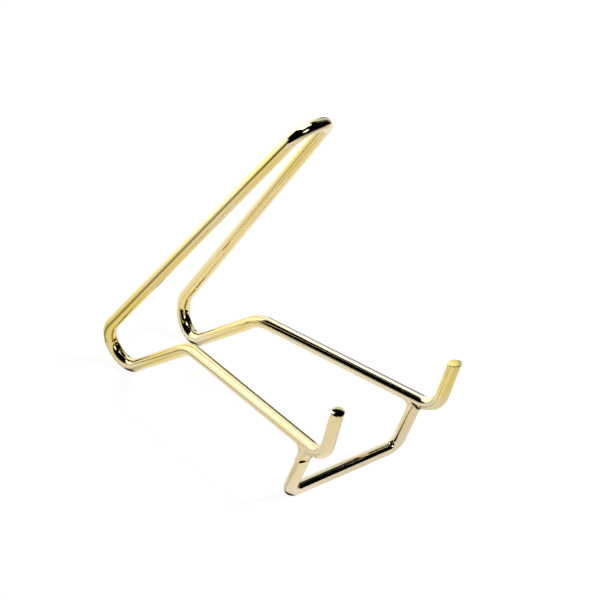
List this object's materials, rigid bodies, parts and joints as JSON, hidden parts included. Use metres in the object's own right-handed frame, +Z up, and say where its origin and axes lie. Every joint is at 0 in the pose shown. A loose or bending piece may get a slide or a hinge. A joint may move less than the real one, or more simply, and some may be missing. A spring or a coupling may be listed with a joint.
{
  "type": "photo album stand",
  "caption": "Small easel bent from round gold-plated wire, with hooked rails that carry an album, a leaning loop behind it and a U-shaped front foot.",
  "frame": {"origin": "on the table, under the middle of the stand's width and depth", "axes": "+Z up, -Y towards the hooks and the viewer of the album, +X across the stand"},
  "size_m": [0.0628, 0.163, 0.1478],
  "materials": {
    "gold_plated_wire": "polished pale gold plating on round wire",
    "gold_plated_weld": "plated over, slightly wavy weld bead"
  },
  "bodies": {
    "root": {"frame_wire": "gold_plated_wire", "front_foot_wire": "gold_plated_wire", "left_weld": "gold_plated_weld", "right_weld": "gold_plated_weld"}
  },
  "joints": []
}
